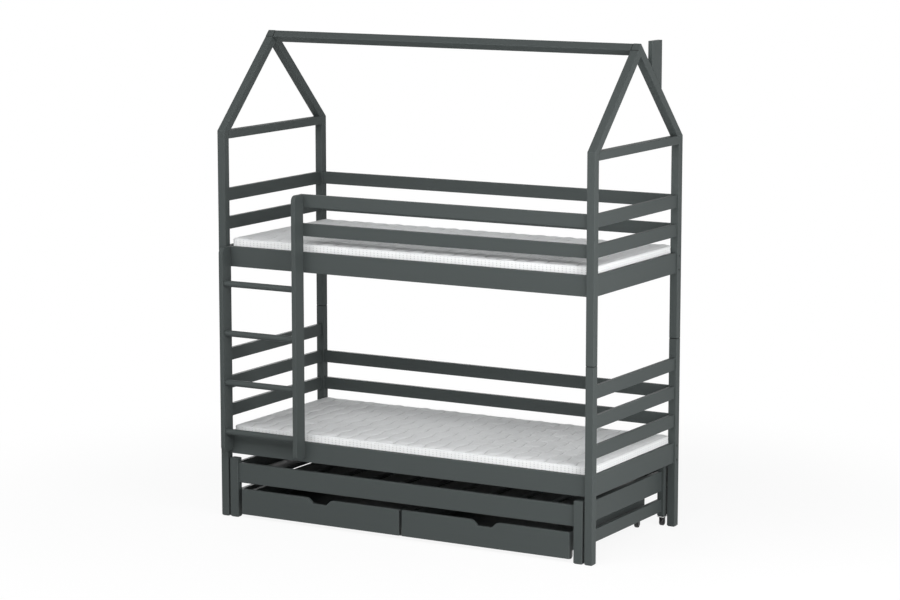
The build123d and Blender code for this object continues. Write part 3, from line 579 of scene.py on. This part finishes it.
def painted_wood(name, way, paint, finish, joint=None):
    """Painted wood with its grain along one way, and dark joint lines where it has any.

    joint is a function that gives how far a point lies from the nearest joint.
    """
    material, tree, shader = new_material(name)
    grain = place_group(tree, painted_grain_group(), {
        "Place": grain_place(tree, way), "Paint": (*paint, 1.0), "Tone": finish.grain_tone,
        "Edge": edge_mask(tree), "Wear": finish.edge_wear})
    colour = grain.outputs["Color"]
    if joint is not None:
        colour = vector_node(tree, "MULTIPLY", colour, remap(tree, joint(tree), JOINT_SHADE))
    tree.links.new(colour, shader.inputs["Base Color"])
    tree.links.new(grain.outputs["Roughness"], shader.inputs["Roughness"])
    shader.inputs["Specular IOR Level"].default_value = PAINT_GLOSS
    bump(tree, shader, grain.outputs["Height"], finish.grain_depth)
    return material


def plain_material(name, colour, metallic, roughness, clouds):
    """Metal, plastic or raw wood, its roughness clouded by so much more or less."""
    material, tree, shader = new_material(name)
    shader.inputs["Base Color"].default_value = (*colour, 1.0)
    shader.inputs["Metallic"].default_value = metallic
    uneven = noise_node(tree, object_place(tree), GLOSS_CLOUDS, detail=3.0)
    clouded = remap(tree, uneven, (0.0, 1.0, roughness - clouds, roughness + clouds))
    tree.links.new(clouded, shader.inputs["Roughness"])
    return material


def seam_shade_mask(tree):
    """1 in the quilting seams, where the cloth gets painted shade, from the mesh, as an output."""
    node = tree.nodes.new("ShaderNodeAttribute")
    node.attribute_name = "seam"
    return node.outputs["Fac"]


def cloth_material(name, along, across, colour, pitch, dot, dot_tone, depth):
    """Mattress cloth with its rows of dots. along and across map the object's X, Y, Z.

    pitch is a pair, the distances of the dots along and across, and dot is their radius.
    depth is how deep the dots are pressed in.
    """
    material, tree, shader = new_material(name)
    place = object_place(tree)
    ways = [vector_node(tree, "DOT_PRODUCT", place, weights, output="Value")
            for weights in (along, across)]
    cloth = place_group(tree, dotted_cloth_group(), {
        "Along": ways[0], "Across": ways[1], "Place": place, "Cloth": (*colour, 1.0),
        "Pitch Along": pitch[0], "Pitch Across": pitch[1], "Dot": dot, "Dot Tone": dot_tone,
        "Seam": seam_shade_mask(tree)})
    tree.links.new(cloth.outputs["Color"], shader.inputs["Base Color"])
    for label, value in CLOTH_SURFACE.items():
        shader.inputs[label].default_value = value
    bump(tree, shader, cloth.outputs["Height"], depth)
    return material


def knitted_cover(form):
    """Fine knit of the top and bottom covers, with its rows along the mattress."""
    return cloth_material("Knitted cover", (1, 0, 0), (0, 1, 0), form.cover,
                          pitch=(0.0030, 0.0030), dot=0.0015, dot_tone=0.07, depth=0.0003)


def perforated_border(form):
    """Airy border with rows of small holes, on the sides and the ends."""
    return cloth_material("Perforated border", (1, 1, 0), (0, 0, 1), form.border,
                          pitch=(0.0196, 0.0098), dot=0.0028, dot_tone=0.38, depth=0.0010)


def edge_piping(form):
    """Twill of the piping in the edge seams."""
    return cloth_material("Edge piping", (1, 1, 0), (0, 0, 1), form.border,
                          pitch=(0.0022, 0.0022), dot=0.0011, dot_tone=0.12, depth=0.0002)


def give(material, nodes):
    """Puts a material on every material slot of CAD nodes."""
    for node in nodes:
        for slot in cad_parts[node].material_slots:
            slot.material = material


class BED_OT_paint_wood(bpy.types.Operator):
    """Paint posts, boards, ladder, roof, slats and drawers, each along its grain."""

    bl_idname = "bed.paint_wood"
    bl_label = "Paint Wood"

    def execute(self, context):
        finish = context.scene.bed_finish
        paint, inside = finish.paint, finish.inside_paint_and_shade
        for way, nodes in GRAIN_ALONG.items():
            give(painted_wood(f"Graphite wood {way}", way, paint, finish), nodes)
        give(painted_wood("Graphite posts", "z", paint, finish, from_post_joint), POSTS)
        give(painted_wood("Graphite ridge beam", "x", paint, finish, from_beam_end),
             ("ridge_beam",))
        give(painted_wood("Graphite rafters", "slope", paint, finish, from_rafter_joints), RAFTERS)
        # The slats and drawer insides take the darker copy of the paint, which paints in the shade
        # they sit in
        give(painted_wood("Graphite slats in painted shade", "y", inside, finish), SLATS)
        give(painted_wood("Graphite drawer insides in painted shade", "x", inside, finish), DRAWER_BOXES)
        return {"FINISHED"}


class BED_OT_finish_fittings(bpy.types.Operator):
    """Give castors, castor plates, bolts and dowels their metal, plastic or raw wood."""

    bl_idname = "bed.finish_fittings"
    bl_label = "Finish Fittings"

    def execute(self, context):
        finish = context.scene.bed_finish
        wheels = [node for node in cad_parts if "wheel" in node]
        give(plain_material("Castor wheels", finish.castor_black, metallic=0.0, roughness=0.45,
                            clouds=0.05), wheels)
        give(plain_material("Castor forks", finish.castor_black, metallic=0.0, roughness=0.35,
                            clouds=0.05), FORKS)
        give(plain_material("Zinc plates", finish.zinc, metallic=0.55, roughness=0.42,
                            clouds=0.08), ("trundle_castor_plates",))
        give(plain_material("Black bolts", finish.bolt_black, metallic=0.6, roughness=0.40,
                            clouds=0.06), BOLTS)
        give(plain_material("Beech dowels", finish.beech, metallic=0.0, roughness=0.6,
                            clouds=0.05), ("frame_dowels",))
        return {"FINISHED"}


# Quilted mattresses


def seam_lines(form, length, y):
    """Where each quilting seam crosses a mattress, one row of places for each seam.

    The first and last rows are the straight edges of the cover. Between them every seam
    swings from side to side, each one the other way round from its neighbours.
    """
    count = int(round(length / form.quilt_pitch))
    turn = 2 * math.pi / form.quilt_wave
    rows = [np.full_like(y, -length / 2)]
    for k in range(1, count):
        sign = 1 if k % 2 else -1
        shift = SEAM_SHIFT * math.sin(SEAM_SHIFT_TURN * k)
        swing = form.quilt_swing * np.sin(turn * y + shift)
        rows.append(np.full_like(y, length * (k / count - 0.5)) + sign * swing)
    rows.append(np.full_like(y, length / 2))
    return np.array(rows)


def cover_grid(form, half_x, half_y):
    """Points of a quilted cover with a mesh line on every seam, their puff and their mask for the
    painted shade in the seams.
    """
    y = np.linspace(-half_y, half_y, form.steps_across + 1)
    lines = seam_lines(form, 2 * half_x, y)
    columns, puffs, seams = [], [], []
    for left, right in zip(lines, lines[1:]):
        for share in PUFF_STEPS[:-1]:
            columns.append(left + share * (right - left))
            puffs.append(np.full_like(y, math.sin(math.pi * share)))
            # Mask of the painted shade in the seams, strongest on a seam and gone a little way into
            # the puff
            away = min(share, 1 - share) / SEAM_SHADE_REACH_SHARE
            seams.append(np.full_like(y, max(0.0, 1 - away)))
    columns.append(lines[-1])
    puffs.append(np.zeros_like(y))
    seams.append(np.zeros_like(y))
    seams[0] = np.zeros_like(y)
    rows_y = np.broadcast_to(y, (len(columns), len(y))).copy()
    return np.array(columns), rows_y, np.array(puffs), np.array(seams)


def rounded_plan(x, y, half_x, half_y, corner):
    """Points of a rectangle drawn in to one with round corners."""
    cx, cy = half_x - corner, half_y - corner
    qx = np.clip(np.abs(x) - cx, 0, None) / corner
    qy = np.clip(np.abs(y) - cy, 0, None) / corner
    both = (qx > 0) & (qy > 0)
    size = np.hypot(qx, qy)
    shrink = np.where(both, np.maximum(qx, qy) / np.where(size > 0, size, 1), 1.0)
    new_x = np.where(both, np.sign(x) * (cx + corner * qx * shrink), x)
    new_y = np.where(both, np.sign(y) * (cy + corner * qy * shrink), y)
    return new_x, new_y


def puckers(x, y, puff):
    """Small gathers of the cover that start at the seams, over broad and shallow waves."""
    near = np.exp(-puff * GATHER_FADE)
    drift = sum(weight * np.sin(u * x + v * y) for weight, u, v in GATHER_DRIFT)
    gathers = sum(weight * np.sin(pace * y + shift * drift) for pace, weight, shift in GATHERS)
    bend_x, bend_y = WAVE_BEND_SHARES
    broad = sum(np.sin(u * x + v * y + start + WAVE_BEND * np.sin(bend_x * v * x - bend_y * u * y))
                for u, v, start in WAVES)
    return GATHER_HEIGHT * gathers * near * (puff > 0) + WAVE_HEIGHT * broad


def mesh_from(name, vertices, faces, marks, materials):
    """A smooth-shaded mesh object. marks give each face's material, or are None for one."""
    mesh = bpy.data.meshes.new(name)
    mesh.from_pydata(vertices.tolist(), [], faces.tolist())
    for material in materials:
        mesh.materials.append(material)
    if marks is not None:
        mesh.polygons.foreach_set("material_index", marks)
    mesh.polygons.foreach_set("use_smooth", np.ones(len(mesh.polygons), bool))
    mesh.update()
    piece = bpy.data.objects.new(name, mesh)
    bpy.context.collection.objects.link(piece)
    return piece


def grid_faces(rows, columns, start=0, up=True):
    """Quads of a grid of points, as indices."""
    i, j = np.meshgrid(np.arange(rows), np.arange(columns), indexing="ij")
    a = start + i * (columns + 1) + j
    order = (a, a + columns + 1, a + columns + 2, a + 1)
    return np.stack(order if up else order[::-1], -1).reshape(-1, 4)


def blown_cover(form, x, y, z, puff):
    """How far air pressure moves each point of the cover between its pinned seams."""
    shape = x.shape
    points = np.stack([x.ravel(), y.ravel(), z.ravel()], 1)
    cover = mesh_from("cover_in_the_making", points, grid_faces(shape[0] - 1, shape[1] - 1),
                      None, ())
    pinned = cover.vertex_groups.new(name="seams")
    edge = np.zeros(shape, bool)
    edge[:, 0] = edge[:, -1] = edge[0, :] = edge[-1, :] = True
    held = np.flatnonzero(((puff <= 0) | edge).ravel())
    pinned.add(held.tolist(), 1.0, "REPLACE")
    cloth = cover.modifiers.new("Filling", "CLOTH")
    settings = cloth.settings
    settings.quality = 4
    settings.mass = 0.15
    settings.vertex_group_mass = pinned.name
    settings.tension_stiffness = 12.0
    settings.compression_stiffness = 6.0
    settings.shear_stiffness = 3.0
    settings.bending_stiffness = 0.02
    settings.air_damping = 2.0
    settings.use_pressure = True
    settings.uniform_pressure_force = form.pressure
    settings.shrink_min = -form.fullness
    settings.effector_weights.gravity = 0.0
    scene = bpy.context.scene
    first = scene.frame_current
    for number in range(1, form.frames + 1):
        scene.frame_set(number)
    depsgraph = bpy.context.evaluated_depsgraph_get()
    blown = cover.evaluated_get(depsgraph).to_mesh()
    result = np.empty(len(points) * 3)
    blown.vertices.foreach_get("co", result)
    cover.evaluated_get(depsgraph).to_mesh_clear()
    scene.frame_set(first)
    mesh = cover.data
    bpy.data.objects.remove(cover)
    bpy.data.meshes.remove(mesh)
    moved = result.reshape(-1, 3) - points
    moved[:, :2] = np.clip(moved[:, :2], -SIDE_SHARE * form.puff, SIDE_SHARE * form.puff)
    moved[:, 2] = np.clip(moved[:, 2], -SINK_SHARE * form.puff, form.puff)
    return moved.reshape(*shape, 3)


def quick_cover(form, y, puff, half_y):
    near_side = 1 - np.exp(-(half_y - np.abs(y)) / QUICK_SIDE_REACH)
    rise = form.puff * puff ** QUICK_PUFF_POWER * near_side
    return np.stack([0 * puff, 0 * puff, rise], -1)


def rim_places(nu, nv):
    """The places of a grid's outer points, in order round the grid."""
    return np.array([(i, 0) for i in range(nu)] + [(nu, j) for j in range(nv)]
                    + [(i, nv) for i in range(nu, 0, -1)] + [(0, j) for j in range(nv, 0, -1)])


def outward(ring_x, ring_y):
    """The level way out from a ring of points, at each point."""
    tangent_x = np.roll(ring_x, -1) - np.roll(ring_x, 1)
    tangent_y = np.roll(ring_y, -1) - np.roll(ring_y, 1)
    length = np.hypot(tangent_x, tangent_y)
    return tangent_y / length, -tangent_x / length


def border_rings(form, seam_top, puff, top, low):
    """The rings from the top cover's edge down to the bottom cover's edge.

    Each is how far it stands out, its height and the number of its material. puff is 0
    where a seam draws the edge in, and top and low are the heights of the covers' edges.
    """
    def rounded(turn, height, cover):
        angle = turn * math.pi / 2
        pull = form.scallop * (1 - puff) * math.sin(angle)
        return form.edge * math.sin(angle) - pull, height + (cover - height) * math.cos(angle), 0

    rings = [rounded(turn, seam_top, top) for turn in EDGE_STEPS]
    for k in range(1, BORDER_ROWS):
        share = k / BORDER_ROWS
        out = form.edge + form.bulge * (math.sin(math.pi * share) - 1)
        rings.append((out, np.full(len(puff), seam_top + (form.edge - seam_top) * share), 1))
    return rings + [rounded(turn, form.edge, low) for turn in reversed(EDGE_STEPS)]


def mattress_faces(nu, nv, rim, kinds):
    """The faces of top cover, rings and bottom cover, and the material number of each."""
    count = len(rim)
    first = (nu + 1) * (nv + 1)
    last = first + len(kinds) * count
    loops = [rim[:, 0] * (nv + 1) + rim[:, 1]]
    loops += [first + k * count + np.arange(count) for k in range(len(kinds))]
    loops.append(last + loops[0])
    faces, marks = [grid_faces(nu, nv)], [np.zeros(nu * nv, int)]
    for upper, lower, kind in zip(loops, loops[1:], kinds + [0]):
        faces.append(np.stack([upper, lower, np.roll(lower, -1), np.roll(upper, -1)], -1))
        marks.append(np.full(count, kind))
    faces.append(grid_faces(nu, nv, last, up=False))
    marks.append(np.zeros(nu * nv, int))
    return np.concatenate(faces), np.concatenate(marks)


def quilted_mattress(name, lo, hi, form, materials, filling=None):
    """A mattress that fills a box: quilted top and bottom covers, border and piping.

    filling is how far the air in the cover moves its points, and is worked out if it is
    None. The mattress, its piping and the filling are given back, for the next one.
    """
    size = Vector(hi) - Vector(lo)
    inner_x, inner_y = size.x / 2 - form.edge, size.y / 2 - form.edge
    gx, gy, puff, seam = cover_grid(form, inner_x, inner_y)
    nu, nv = gx.shape[0] - 1, gx.shape[1] - 1
    px, py = rounded_plan(gx, gy, inner_x, inner_y, form.plan_corner - form.edge / 2)
    dome = (1 - (gx / inner_x) ** 4) * (1 - (gy / inner_y) ** 4)
    inland = np.minimum(1, dome * EDGE_RISE)
    base = size.z - form.crown - form.puff
    flat = base + form.crown * dome
    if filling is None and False:
        filling = quick_cover(form, gy, puff, inner_y)
    elif filling is None:
        filling = blown_cover(form, px, py, flat, puff)
    z_top = np.minimum(flat + filling[..., 2] + puckers(gx, gy, puff) * inland, size.z)
    top = np.stack([px + filling[..., 0], py + filling[..., 1], z_top], -1)
    low = np.stack([px, py, BOTTOM_SEAM * (1 - puff ** 0.5) * inland], -1)

    rim = rim_places(nu, nv)
    on_rim = (rim[:, 0], rim[:, 1])
    ring_x, ring_y = px[on_rim], py[on_rim]
    out_x, out_y = outward(ring_x, ring_y)
    rim_puff = puff[on_rim] ** 0.5
    rim_puff[(rim[:, 0] == 0) | (rim[:, 0] == nu)] = 1.0
    seam_top = base - form.edge
    rings = border_rings(form, seam_top, rim_puff, z_top[on_rim], low[on_rim][:, 2])

    def ring_points(out, z):
        return np.stack([ring_x + out_x * out, ring_y + out_y * out, z], 1)

    points = [top.reshape(-1, 3), *(ring_points(out, z) for out, z, _ in rings),
              low.reshape(-1, 3)]
    faces, marks = mattress_faces(nu, nv, rim, [kind for _, _, kind in rings])
    piece = mesh_from(name, np.concatenate(points), faces, marks, materials)
    piece.location = ((lo[0] + hi[0]) / 2, (lo[1] + hi[1]) / 2, lo[2])
    # The seams' mask, which the cloth materials read to paint shade into the creases
    mask = piece.data.attributes.new("seam", "FLOAT", "POINT")
    mask.data.foreach_set("value", np.concatenate(
        [seam.ravel(), np.zeros(len(rings) * len(rim)), seam.ravel()]))

    pipings = []
    sunk = form.edge - form.bulge - form.piping * PIPING_SUNK_SHARE
    for label, height in (("top", seam_top), ("bottom", form.edge)):
        centre = ring_points(sunk, np.full(len(rim), height))
        piping = tube(f"{name}_{label}_piping", centre, out_x, out_y, form.piping, materials[2])
        piping.location = piece.location
        pipings.append(piping)
    return piece, pipings, filling


def tube(name, centre, out_x, out_y, radius, material, sides=8):
    """A closed tube round a ring of points."""
    count = len(centre)
    rings = []
    faces = []
    for k in range(sides):
        angle = 2 * math.pi * k / sides
        offset = np.stack([out_x * math.cos(angle), out_y * math.cos(angle),
                           np.full(count, math.sin(angle))], 1)
        rings.append(centre + radius * offset)
        here = k * count + np.arange(count)
        there = (k + 1) % sides * count + np.arange(count)
        faces.append(np.stack([here, np.roll(here, -1), np.roll(there, -1), there], -1))
    return mesh_from(name, np.concatenate(rings), np.concatenate(faces), None, (material,))


class BED_OT_make_mattresses(bpy.types.Operator):
    """Make a quilted mattress with border and piping on each bunk."""

    bl_idname = "bed.make_mattresses"
    bl_label = "Make Mattresses"

    def execute(self, context):
        form = context.scene.mattress_form
        materials = (knitted_cover(form), perforated_border(form), edge_piping(form))
        filling = None
        for level in ("lower", "upper"):
            node = f"{level}_mattress"
            lo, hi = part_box(node)
            piece, pipings, filling = quilted_mattress(f"{level}_quilted_mattress", lo, hi, form,
                                                       materials, filling)
            for part in (piece, *pipings):
                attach(part, "frame")
            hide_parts(node)
        return {"FINISHED"}


# Studio


def white_to_camera(tree):
    """1 for rays that show a thing itself, its reflection or what shines through, as an output."""
    path = tree.nodes.new("ShaderNodeLightPath")
    seen = math_node(tree, "MAXIMUM", path.outputs["Is Camera Ray"], path.outputs["Is Glossy Ray"])
    return math_node(tree, "MAXIMUM", seen, path.outputs["Is Transmission Ray"])


def studio_floor_material(setup):
    """A matt floor that looks nearly white and still takes the bed's shadow."""
    material, tree, shader = new_material("Studio floor")
    seen = white_to_camera(tree)
    colour = mix_colours(tree, seen, (*setup.floor_bounce, 1.0), (*setup.floor, 1.0))
    tree.links.new(colour, shader.inputs["Base Color"])
    shader.inputs["Roughness"].default_value = FLOOR_ROUGHNESS
    shader.inputs["Specular IOR Level"].default_value = 0.0
    glow = tree.nodes.new("ShaderNodeEmission")
    glow.inputs["Color"].default_value = WHITE
    glow.inputs["Strength"].default_value = 1.0
    away = vector_node(tree, "LENGTH", object_place(tree), output="Value")
    fade = remap(tree, away, (*FLOOR_FADE, FLOOR_GLOW, 1.0), kind="SMOOTHSTEP")
    mix_shaders(tree, math_node(tree, "MULTIPLY", seen, fade), shader, glow,
                tree.nodes["Material Output"].inputs["Surface"])
    return material


def lay_floor(context, setup):
    """A wide level floor just below the bed's feet."""
    mesh = bpy.data.meshes.new("studio_floor")
    corners = [(x * FLOOR_REACH, y * FLOOR_REACH, -FLOOR_DROP)
               for x, y in ((-1, -1), (1, -1), (1, 1), (-1, 1))]
    mesh.from_pydata(corners, [], [(0, 1, 2, 3)])
    floor = bpy.data.objects.new("studio_floor", mesh)
    context.collection.objects.link(floor)
    mesh.materials.append(studio_floor_material(setup))


def hang_backdrop(scene, setup):
    """A world that looks white and sheds a faint light, a little more of it from above."""
    world = scene.world or bpy.data.worlds.new("Studio")
    scene.world = world
    world.use_nodes = True
    tree = world.node_tree
    tree.nodes.clear()
    out = tree.nodes.new("ShaderNodeOutputWorld")
    around = tree.nodes.new("ShaderNodeBackground")
    around.inputs["Color"].default_value = SKY_COLOUR
    way = split_axes(tree, tree.nodes.new("ShaderNodeTexCoord").outputs["Generated"])
    upward = math_node(tree, "MAXIMUM", way["Z"], 0.0)
    sky = math_node(tree, "MULTIPLY", upward, setup.sky)
    tree.links.new(math_node(tree, "ADD", sky, setup.ambient), around.inputs["Strength"])
    backdrop = tree.nodes.new("ShaderNodeBackground")
    backdrop.inputs["Color"].default_value = WHITE
    backdrop.inputs["Strength"].default_value = 1.0
    mix_shaders(tree, white_to_camera(tree), around, backdrop, out.inputs["Surface"])


def softbox(name, power, place, aim, width, height):
    """A rectangular area lamp turned towards a point."""
    lamp = bpy.data.lights.new(name, "AREA")
    lamp.shape = "RECTANGLE"
    lamp.size = width
    lamp.size_y = height
    lamp.energy = power
    box = bpy.data.objects.new(name, lamp)
    bpy.context.collection.objects.link(box)
    box.location = place
    box.rotation_euler = (Vector(aim) - Vector(place)).to_track_quat("-Z", "Y").to_euler()
    box.visible_glossy = True
    box.visible_camera = False


def light_bed(setup):
    """Softboxes high and low in front, at the right, behind at the left, and overhead."""
    softbox("front_softbox", setup.front_light, place=(-0.2, -4.3, 4.3), aim=(-0.1, 0.0, 1.0),
            width=7.0, height=2.8)
    softbox("low_softbox", setup.low_light, place=(-0.6, -4.4, 0.8), aim=(-0.3, 0.0, 0.6),
            width=6.0, height=1.4)
    softbox("side_softbox", setup.side_light, place=(4.2, -1.6, 1.5), aim=(0.0, 0.0, 1.0),
            width=2.6, height=2.4)
    softbox("back_softbox", setup.back_light, place=(-3.4, 4.2, 1.6), aim=(0.0, 0.0, 1.2),
            width=3.4, height=0.5)
    softbox("top_softbox", setup.top_light, place=(0.0, -0.3, 4.8), aim=(0.0, 0.0, 0.0),
            width=3.4, height=2.4)


def stand_camera(context, setup):
    """The camera, level but for its dip, in front of the bed and to its right."""
    lens = bpy.data.cameras.new("Camera")
    lens.sensor_width = SENSOR_WIDTH
    lens.lens = setup.lens
    lens.clip_end = CAMERA_REACH
    camera = bpy.data.objects.new("Camera", lens)
    context.collection.objects.link(camera)
    camera.location = setup.camera_place
    camera.rotation_euler = (math.pi / 2 - setup.camera_dip, 0.0, setup.camera_turn)
    context.scene.camera = camera


class BED_OT_make_stage(bpy.types.Operator):
    """Lay a pale floor, light it softly and set up the camera."""

    bl_idname = "bed.make_stage"
    bl_label = "Make Stage"

    def execute(self, context):
        setup = context.scene.studio_setup
        lay_floor(context, setup)
        hang_backdrop(context.scene, setup)
        light_bed(setup)
        stand_camera(context, setup)
        context.scene.view_settings.view_transform = "Standard"
        return {"FINISHED"}


class BED_PT_sidebar(bpy.types.Panel):
    """The bed's operators and settings in the 3D view's sidebar."""

    bl_idname = "BED_PT_sidebar"
    bl_label = "Bunk Bed"
    bl_space_type = "VIEW_3D"
    bl_region_type = "UI"
    bl_category = "Bunk Bed"

    def draw(self, context):
        layout = self.layout
        for operator in STEPS:
            layout.operator(operator.bl_idname)
        for group in (context.scene.bed_finish, context.scene.mattress_form,
                      context.scene.studio_setup):
            column = layout.column(align=True)
            for name in group.__annotations__:
                column.prop(group, name)


STEPS = (BED_OT_paint_wood, BED_OT_finish_fittings, BED_OT_make_mattresses, BED_OT_make_stage)
CLASSES = (BedFinish, MattressForm, StudioSetup, *STEPS, BED_PT_sidebar)


def register():
    for cls in CLASSES:
        bpy.utils.register_class(cls)
    bpy.types.Scene.bed_finish = PointerProperty(type=BedFinish)
    bpy.types.Scene.mattress_form = PointerProperty(type=MattressForm)
    bpy.types.Scene.studio_setup = PointerProperty(type=StudioSetup)


def unregister():
    del bpy.types.Scene.studio_setup
    del bpy.types.Scene.mattress_form
    del bpy.types.Scene.bed_finish
    for cls in reversed(CLASSES):
        bpy.utils.unregister_class(cls)


def main():
    """Registers the add-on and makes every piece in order."""
    register()
    bpy.ops.bed.paint_wood()
    bpy.ops.bed.finish_fittings()
    bpy.ops.bed.make_mattresses()
    bpy.ops.bed.make_stage()


if __name__ == "__main__":
    main()
